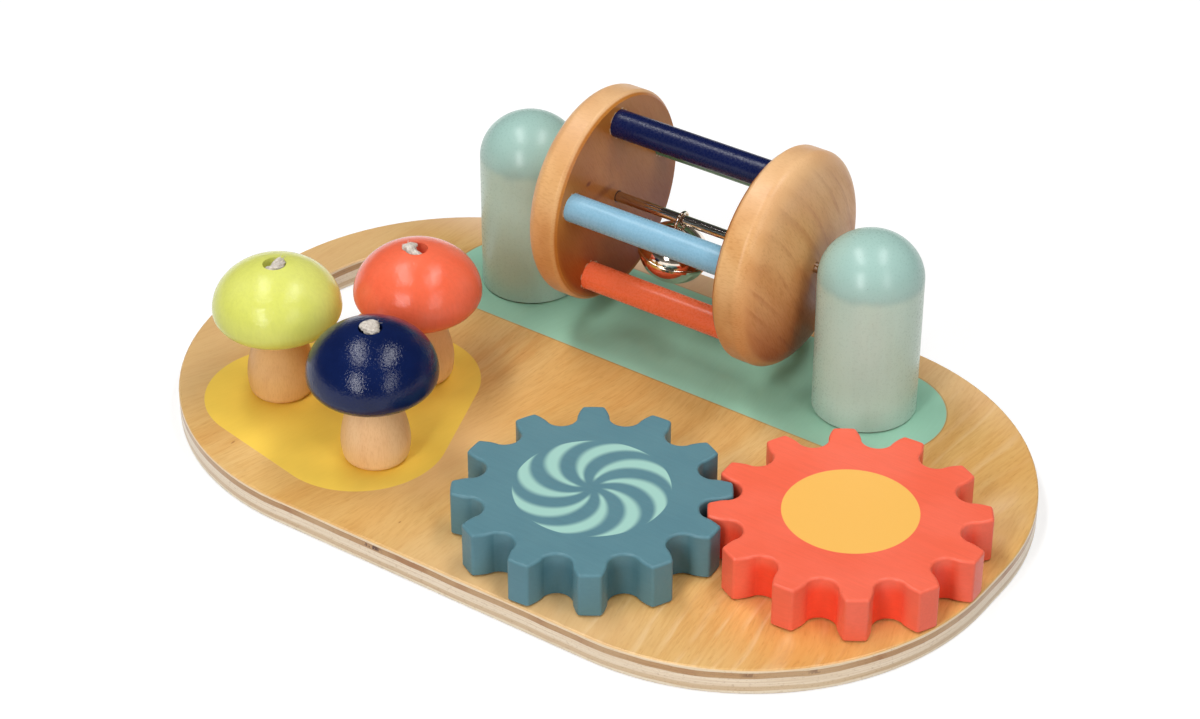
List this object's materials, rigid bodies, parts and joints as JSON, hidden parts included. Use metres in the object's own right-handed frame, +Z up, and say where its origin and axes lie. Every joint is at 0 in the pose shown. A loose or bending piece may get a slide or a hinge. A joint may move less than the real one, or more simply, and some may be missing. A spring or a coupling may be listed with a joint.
{
  "type": "wooden activity board",
  "caption": "Oval plywood activity board with a grip slot, meshing wooden gears, a spinning dowel barrel with a bell between two posts, and mushrooms on elastic cords.",
  "frame": {"origin": "centre of the board's outline on its underside", "axes": "+X along the board towards the gear end, +Y across the board towards the barrel, +Z up, out of the board"},
  "size_m": [0.299, 0.1911, 0.0936],
  "materials": {
    "birch_plywood": "clear matt lacquer over plywood, with printed colour patches",
    "mint_paint": "semi-gloss paint on turned wood",
    "natural_beech": "clear satin lacquer on turned beech",
    "teal_paint": "semi-gloss paint on wood, with a printed light swirl",
    "coral_paint": "semi-gloss paint on wood",
    "lime_paint": "gloss paint on turned wood",
    "navy_paint": "gloss paint on turned wood",
    "light_blue_paint": "satin paint on a wooden dowel",
    "green_paint": "satin paint on a wooden dowel",
    "yellow_paint": "satin paint on a wooden dowel",
    "rod_steel": "drawn bright steel",
    "screw_steel": "zinc-plated steel",
    "bell_chrome": "nickel-chrome plated thin sheet",
    "cord_cotton": "braided off-white elastic cord"
  },
  "bodies": {
    "base": {"base_board": "birch_plywood", "post_left": "mint_paint", "post_right": "mint_paint", "post_screws": "screw_steel", "steel_rod": "rod_steel", "under_knot_lime": "cord_cotton", "under_knot_coral": "cord_cotton", "under_knot_navy": "cord_cotton"},
    "front_gear": {"gear_front": "teal_paint", "gear_peg_front": "natural_beech", "gear_washer_front": "screw_steel", "gear_screw_front": "screw_steel"},
    "end_gear": {"gear_end": "coral_paint", "gear_peg_end": "natural_beech", "gear_washer_end": "screw_steel", "gear_screw_end": "screw_steel"},
    "barrel": {"barrel_disc_left": "natural_beech", "barrel_disc_right": "natural_beech", "barrel_dowel_light_blue": "light_blue_paint", "barrel_dowel_navy": "navy_paint", "barrel_dowel_green": "green_paint", "barrel_dowel_yellow": "yellow_paint", "barrel_dowel_coral": "coral_paint"},
    "bell": {"bell_ring": "bell_chrome", "bell_crown": "bell_chrome", "bell_bowl": "bell_chrome", "bell_pellet": "screw_steel"},
    "stem_lime": {"mushroom_stem_lime": "natural_beech", "mushroom_cord_lime": "cord_cotton"},
    "cap_lime": {"mushroom_cap_lime": "lime_paint", "mushroom_knot_lime": "cord_cotton"},
    "stem_coral": {"mushroom_stem_coral": "natural_beech", "mushroom_cord_coral": "cord_cotton"},
    "cap_coral": {"mushroom_cap_coral": "coral_paint", "mushroom_knot_coral": "cord_cotton"},
    "stem_navy": {"mushroom_stem_navy": "natural_beech", "mushroom_cord_navy": "cord_cotton"},
    "cap_navy": {"mushroom_cap_navy": "navy_paint", "mushroom_knot_navy": "cord_cotton"}
  },
  "joints": [
    {"name": "front_gear_spin", "type": "hinge", "parent": "base", "child": "front_gear", "pos_m": [0.03205, -0.0499, 0.0095], "axis": [0, 0, 1], "continuous": true},
    {"name": "end_gear_spin", "type": "hinge", "parent": "base", "child": "end_gear", "pos_m": [0.105, -0.01401, 0.0095], "axis": [0, 0, 1], "continuous": true},
    {"name": "barrel_spin", "type": "hinge", "parent": "base", "child": "barrel", "pos_m": [-0.0015, 0.0585, 0.056], "axis": [1, 0, 0], "continuous": true},
    {"name": "bell_swing", "type": "hinge", "parent": "base", "child": "bell", "pos_m": [-0.0061, 0.0585, 0.056], "axis": [1, 0, 0], "range_deg": [-75, 75]},
    {"name": "mushroom_lift_lime", "type": "slide", "parent": "base", "child": "stem_lime", "axis": [0, 0, 1], "range_m": [0, 0.012], "stiffness_N_per_m": 300, "springref_m": -0.01, "deforming": ["mushroom_cord_lime"]},
    {"name": "cap_turn_lime", "type": "hinge", "parent": "stem_lime", "child": "cap_lime", "pos_m": [-0.09809, -0.04548, 0.036], "axis": [0, 0, 1], "continuous": true},
    {"name": "mushroom_lift_coral", "type": "slide", "parent": "base", "child": "stem_coral", "axis": [0, 0, 1], "range_m": [0, 0.012], "stiffness_N_per_m": 300, "springref_m": -0.01, "deforming": ["mushroom_cord_coral"]},
    {"name": "cap_turn_coral", "type": "hinge", "parent": "stem_coral", "child": "cap_coral", "pos_m": [-0.06543, -0.01154, 0.036], "axis": [0, 0, 1], "continuous": true},
    {"name": "mushroom_lift_navy", "type": "slide", "parent": "base", "child": "stem_navy", "axis": [0, 0, 1], "range_m": [0, 0.012], "stiffness_N_per_m": 300, "springref_m": -0.01, "deforming": ["mushroom_cord_navy"]},
    {"name": "cap_turn_navy", "type": "hinge", "parent": "stem_navy", "child": "cap_navy", "pos_m": [-0.0486, -0.05741, 0.036], "axis": [0, 0, 1], "continuous": true}
  ],
  "couplings": [
    {"joint": "end_gear_spin", "follows": "front_gear_spin", "ratio": -1}
  ]
}
